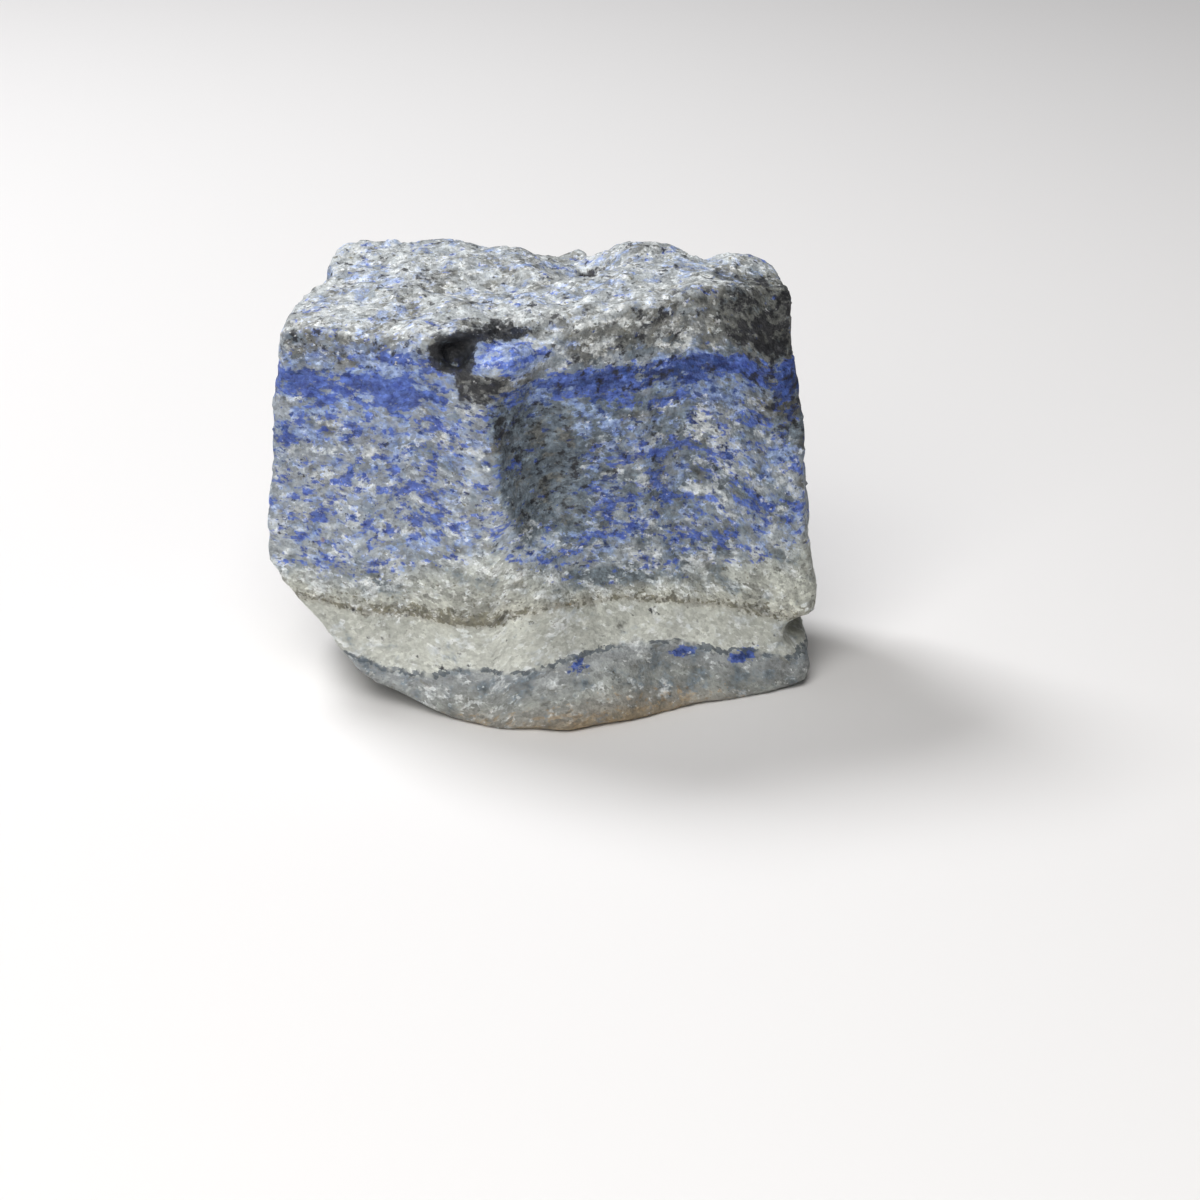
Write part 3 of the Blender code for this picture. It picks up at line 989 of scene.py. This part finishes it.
    def crystals(
        self, tree: bpy.types.NodeTree, place: bpy.types.NodeSocket, fine: bpy.types.NodeSocket
    ) -> bpy.types.NodeSocket:
        """Give every crystal its own level, so that grains of a mineral end at crystal edges.

        Args:
            tree: The node tree.
            place: The unfolded place.
            fine: Fine noise.

        Returns:
            Levels around one half.
        """
        shape = (1.0 / self.crystal, self.depth / self.crystal, self.crystal_flatness / self.crystal)
        scaled = add_node(
            tree, "ShaderNodeVectorMath", {"operation": "MULTIPLY"}, {"Vector": place, "Vector_001": shape},
        )
        bent = add_node(
            tree, "ShaderNodeTexNoise", {"noise_dimensions": "3D"},
            {"Vector": scaled, "Scale": self.crystal_bends, "Detail": 1.0}, "Color",
        )
        shifted = add_node(
            tree, "ShaderNodeVectorMath", {"operation": "MULTIPLY_ADD"},
            {"Vector": bent, "Vector_001": (self.crystal_bend,) * 3, "Vector_002": scaled},
        )
        cells = add_node(
            tree, "ShaderNodeTexVoronoi", {"feature": "F1"}, {"Vector": shifted, "Scale": 1.0}, "Color",
        )
        level = add_node(tree, "ShaderNodeSeparateXYZ", {}, {"Vector": cells}, "X")
        return add_node(
            tree, "ShaderNodeMix", {"data_type": "FLOAT"},
            {"Factor_Float": self.crystal_part, "A_Float": fine, "B_Float": level},
        )

    def scatter(
        self,
        tree: bpy.types.NodeTree,
        place: bpy.types.NodeSocket,
        fine: bpy.types.NodeSocket,
        tone: bpy.types.NodeSocket,
        under: bpy.types.NodeSocket,
        mineral: Mineral,
        number: int,
    ) -> bpy.types.NodeSocket:
        """Scatter the grains of one mineral over the rock.

        Args:
            tree: The node tree.
            place: The unfolded place.
            fine: Fine noise that breaks up the edges of the grains.
            tone: From zero for the darkest grains to one for the lightest.
            under: The colour so far.
            mineral: The mineral.
            number: Its number, which shifts its noise.

        Returns:
            The colour with the grains on it.
        """
        seed = GRAIN_SEEDS[0] + GRAIN_SEEDS[1] * number
        share = add_node(tree, "ShaderNodeAttribute", {"attribute_name": mineral.name}, {}, "Fac")
        grains = self.field(tree, place, Grain(mineral.length, mineral.flatness, seed, 3.0))
        ragged = add_node(
            tree, "ShaderNodeMath", {"operation": "MULTIPLY_ADD"},
            {"Value": fine, "Value_001": self.ragged, "Value_002": grains},
        )
        level = add_node(
            tree, "ShaderNodeMath", {"operation": "MULTIPLY_ADD"},
            {"Value": share, "Value_001": self.fullness, "Value_002": ragged},
        )
        shown = add_node(
            tree, "ShaderNodeMapRange", {"interpolation_type": "SMOOTHSTEP"},
            {"Value": level, "From Min": self.threshold - mineral.edge,
             "From Max": self.threshold + mineral.edge, "To Max": mineral.cover},
        )
        dark, light = [linear(colour) for colour in mineral.colours]
        grain_colour = add_node(
            tree, "ShaderNodeMix", {"data_type": "RGBA"},
            {"Factor_Float": tone, "A_Color": dark, "B_Color": light}, "Result_Color",
        )
        return add_node(
            tree, "ShaderNodeMix", {"data_type": "RGBA"},
            {"Factor_Float": shown, "A_Color": under, "B_Color": grain_colour}, "Result_Color",
        )

    def slate_line(
        self, tree: bpy.types.NodeTree, place: bpy.types.NodeSocket, under: bpy.types.NodeSocket
    ) -> bpy.types.NodeSocket:
        """Draw the thin slate line between the grey foot and the white marble.

        Args:
            tree: The node tree.
            place: The unfolded place.
            under: The colour so far.

        Returns:
            The colour with the line on it.
        """
        height = add_node(tree, "ShaderNodeAttribute", {"attribute_name": "bed_height"}, {}, "Fac")
        wander = add_node(
            tree, "ShaderNodeMath", {"operation": "MULTIPLY_ADD"},
            {"Value": self.field(tree, place, self.line), "Value_001": self.line_wander,
             "Value_002": height},
        )
        near = add_node(
            tree, "ShaderNodeMath", {"operation": "COMPARE"},
            {"Value": wander, "Value_001": self.line_level, "Value_002": self.line_width},
        )
        start, full = self.line_range
        whole = add_node(
            tree, "ShaderNodeMapRange", {},
            {"Value": self.field(tree, place, self.line_gaps), "From Min": start, "From Max": full,
             "To Max": self.line_cover},
        )
        amount = add_node(
            tree, "ShaderNodeMath", {"operation": "MULTIPLY"}, {"Value": near, "Value_001": whole},
        )
        return add_node(
            tree, "ShaderNodeMix", {"data_type": "RGBA"},
            {"Factor_Float": amount, "A_Color": under, "B_Color": linear(self.line_colour)},
            "Result_Color",
        )

    def sugar(
        self,
        tree: bpy.types.NodeTree,
        place: bpy.types.NodeSocket,
        fine: bpy.types.NodeSocket,
        rough: bpy.types.NodeSocket,
        under: bpy.types.NodeSocket,
    ) -> bpy.types.NodeSocket:
        """Lighten and darken the rock grain by grain, and paint shade into its pits and light onto its
        bumps.

        Args:
            tree: The node tree.
            place: The unfolded place.
            fine: Fine noise.
            rough: How rough the bed breaks.
            under: The colour so far.

        Returns:
            The finished colour.
        """
        relief = add_node(tree, "ShaderNodeAttribute", {"attribute_name": "relief"}, {}, "Fac")
        both = add_node(
            tree, "ShaderNodeMix", {"data_type": "FLOAT"},
            {"Factor_Float": self.coarse_part, "A_Float": fine,
             "B_Float": self.field(tree, place, self.coarse)},
        )
        # Painted shade in the pits and painted light on the bumps, from the relief.
        lifted = add_node(
            tree, "ShaderNodeMath", {"operation": "MULTIPLY_ADD"},
            {"Value": relief, "Value_001": self.pit_shade, "Value_002": both},
        )
        dark, light = self.grain_range
        swing = add_node(
            tree, "ShaderNodeMapRange", {"clamp": False},
            {"Value": lifted, "From Min": dark, "From Max": light,
             "To Min": -self.contrast, "To Max": self.contrast},
        )
        gain = add_node(
            tree, "ShaderNodeMath", {"operation": "MULTIPLY_ADD"},
            {"Value": swing, "Value_001": rough, "Value_002": 1.0},
        )
        return add_node(
            tree, "ShaderNodeVectorMath", {"operation": "SCALE"}, {"Vector": under, "Scale": gain},
        )

    def bumps(
        self, tree: bpy.types.NodeTree, place: bpy.types.NodeSocket, rough: bpy.types.NodeSocket
    ) -> bpy.types.NodeSocket:
        """Add the sugary roughness that is too fine for the mesh, under half a millimetre across.

        Args:
            tree: The node tree.
            place: The unfolded place.
            rough: How rough the bed breaks.

        Returns:
            The bent normal.
        """
        strength = add_node(
            tree, "ShaderNodeMath", {"operation": "MULTIPLY"},
            {"Value": rough, "Value_001": self.bump_strength},
        )
        return add_node(
            tree, "ShaderNodeBump", {},
            {"Height": self.field(tree, place, self.bump), "Strength": strength,
             "Distance": self.bump_depth * MM},
        )


@dataclass(frozen=True)
class MattPaper:
    """Plain white paper, which has no gloss and takes soft shadows.

    Attributes:
        colour: Its sRGB colour.
        roughness: Roughness of uncoated paper.
        ior: Refractive index of its fibres.
    """

    colour: str = "#ebe9e8"
    roughness: float = 0.9
    ior: float = 1.45

    def material(self) -> bpy.types.Material:
        """Build the finish.

        Returns:
            The material.
        """
        made = bpy.data.materials.new("matt_white_paper")
        made.use_nodes = True
        tree = made.node_tree
        tree.nodes.clear()
        surface = add_node(
            tree, "ShaderNodeBsdfPrincipled", {},
            {"Base Color": linear(self.colour), "Roughness": self.roughness, "IOR": self.ior},
        )
        add_node(tree, "ShaderNodeOutputMaterial", {}, {"Surface": surface})
        return made


@dataclass(frozen=True)
class Lamp:
    """One soft square light that faces the stone.

    Attributes:
        name: What it stands for.
        place: Where it hangs.
        size: Its width and height.
        power: Watts.
        colour: Its sRGB colour.
    """

    name: str
    place: Triple
    size: float
    power: float
    colour: str


@dataclass
class Studio:
    """The pale floor, the light and the camera.

    Attributes:
        floor_width: Width of the floor.
        sky_colour: Colour of the room's own light.
        sky: Strength of the room's own light.
        lamps: The soft lights.
        lamp_aim: Where they face.
        camera_place: Where the camera stands.
        camera_tilt: Degrees from looking straight down.
        lens: Focal length.
        sensor: Width of the camera's sensor.
        nearest: Nearest distance that the camera sees.
    """

    floor_width: float = 4000.0
    sky_colour: str = "#e9edf5"
    sky: float = 0.01
    lamps: tuple[Lamp, ...] = (
        Lamp("window", (-275.0, 250.0, 470.0), 200.0, 2.7, "#fcfdff"),
        Lamp("low front fill", (-110.0, -450.0, 370.0), 400.0, 1.8, "#fffefb"),
        Lamp("high front fill", (-45.0, -270.0, 530.0), 400.0, 1.3, "#ffffff"),
    )
    lamp_aim: Triple = (0.0, 0.0, 10.0)
    camera_place: Triple = (5.68, -323.6, 136.86)
    camera_tilt: float = 68.0
    lens: float = 100.0
    sensor: float = 36.0
    nearest: float = 10.0

    def build(self) -> None:
        """Set up the floor, the room light, the lamps and the camera."""
        self.lay_floor()
        world = bpy.data.worlds.new("room")
        world.use_nodes = True
        background = world.node_tree.nodes["Background"]
        background.inputs["Color"].default_value = linear(self.sky_colour)
        background.inputs["Strength"].default_value = self.sky
        bpy.context.scene.world = world
        bpy.context.scene.view_settings.view_transform = "Standard"
        for lamp in self.lamps:
            self.hang(lamp)
        self.set_camera()

    def lay_floor(self) -> None:
        """Lay a plain pale floor under the stone."""
        half = 0.5 * self.floor_width * MM
        mesh = bpy.data.meshes.new("floor")
        corners = [(-half, -half, 0.0), (half, -half, 0.0), (half, half, 0.0), (-half, half, 0.0)]
        mesh.from_pydata(corners, [], [(0, 1, 2, 3)])
        mesh.materials.append(MattPaper().material())
        floor = bpy.data.objects.new("floor", mesh)
        bpy.context.collection.objects.link(floor)

    def hang(self, lamp: Lamp) -> None:
        """Hang one soft light.

        Args:
            lamp: The light.
        """
        data = bpy.data.lights.new(lamp.name, "AREA")
        data.shape = "SQUARE"
        data.size = lamp.size * MM
        data.energy = lamp.power
        data.color = linear(lamp.colour)[:3]
        light = bpy.data.objects.new(lamp.name, data)
        light.location = Vector(lamp.place) * MM
        way = Vector(self.lamp_aim) - Vector(lamp.place)
        light.rotation_euler = way.to_track_quat("-Z", "Y").to_euler()
        bpy.context.collection.objects.link(light)

    def set_camera(self) -> None:
        """Place the camera where the photo was taken from."""
        data = bpy.data.cameras.new("camera")
        data.lens = self.lens
        data.sensor_width = self.sensor
        data.clip_start = self.nearest * MM
        camera = bpy.data.objects.new("camera", data)
        camera.location = Vector(self.camera_place) * MM
        camera.rotation_euler = (math.radians(self.camera_tilt), 0.0, 0.0)
        bpy.context.collection.objects.link(camera)
        bpy.context.scene.camera = camera


def main() -> None:
    """Build the stone and the studio."""
    logging.basicConfig(level=logging.INFO, format="%(name)s: %(message)s")
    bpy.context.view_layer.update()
    stone = RoughStone().build()
    stone.data.materials.append(LapisMarble().material())
    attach(stone, "root")
    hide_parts("lapis_stone")
    log.info("stone: %d vertices", len(stone.data.vertices))
    studio = Studio()
    studio.build()
    log.info("studio: floor, %d lamps and camera", len(studio.lamps))


if __name__ == "__main__":
    main()
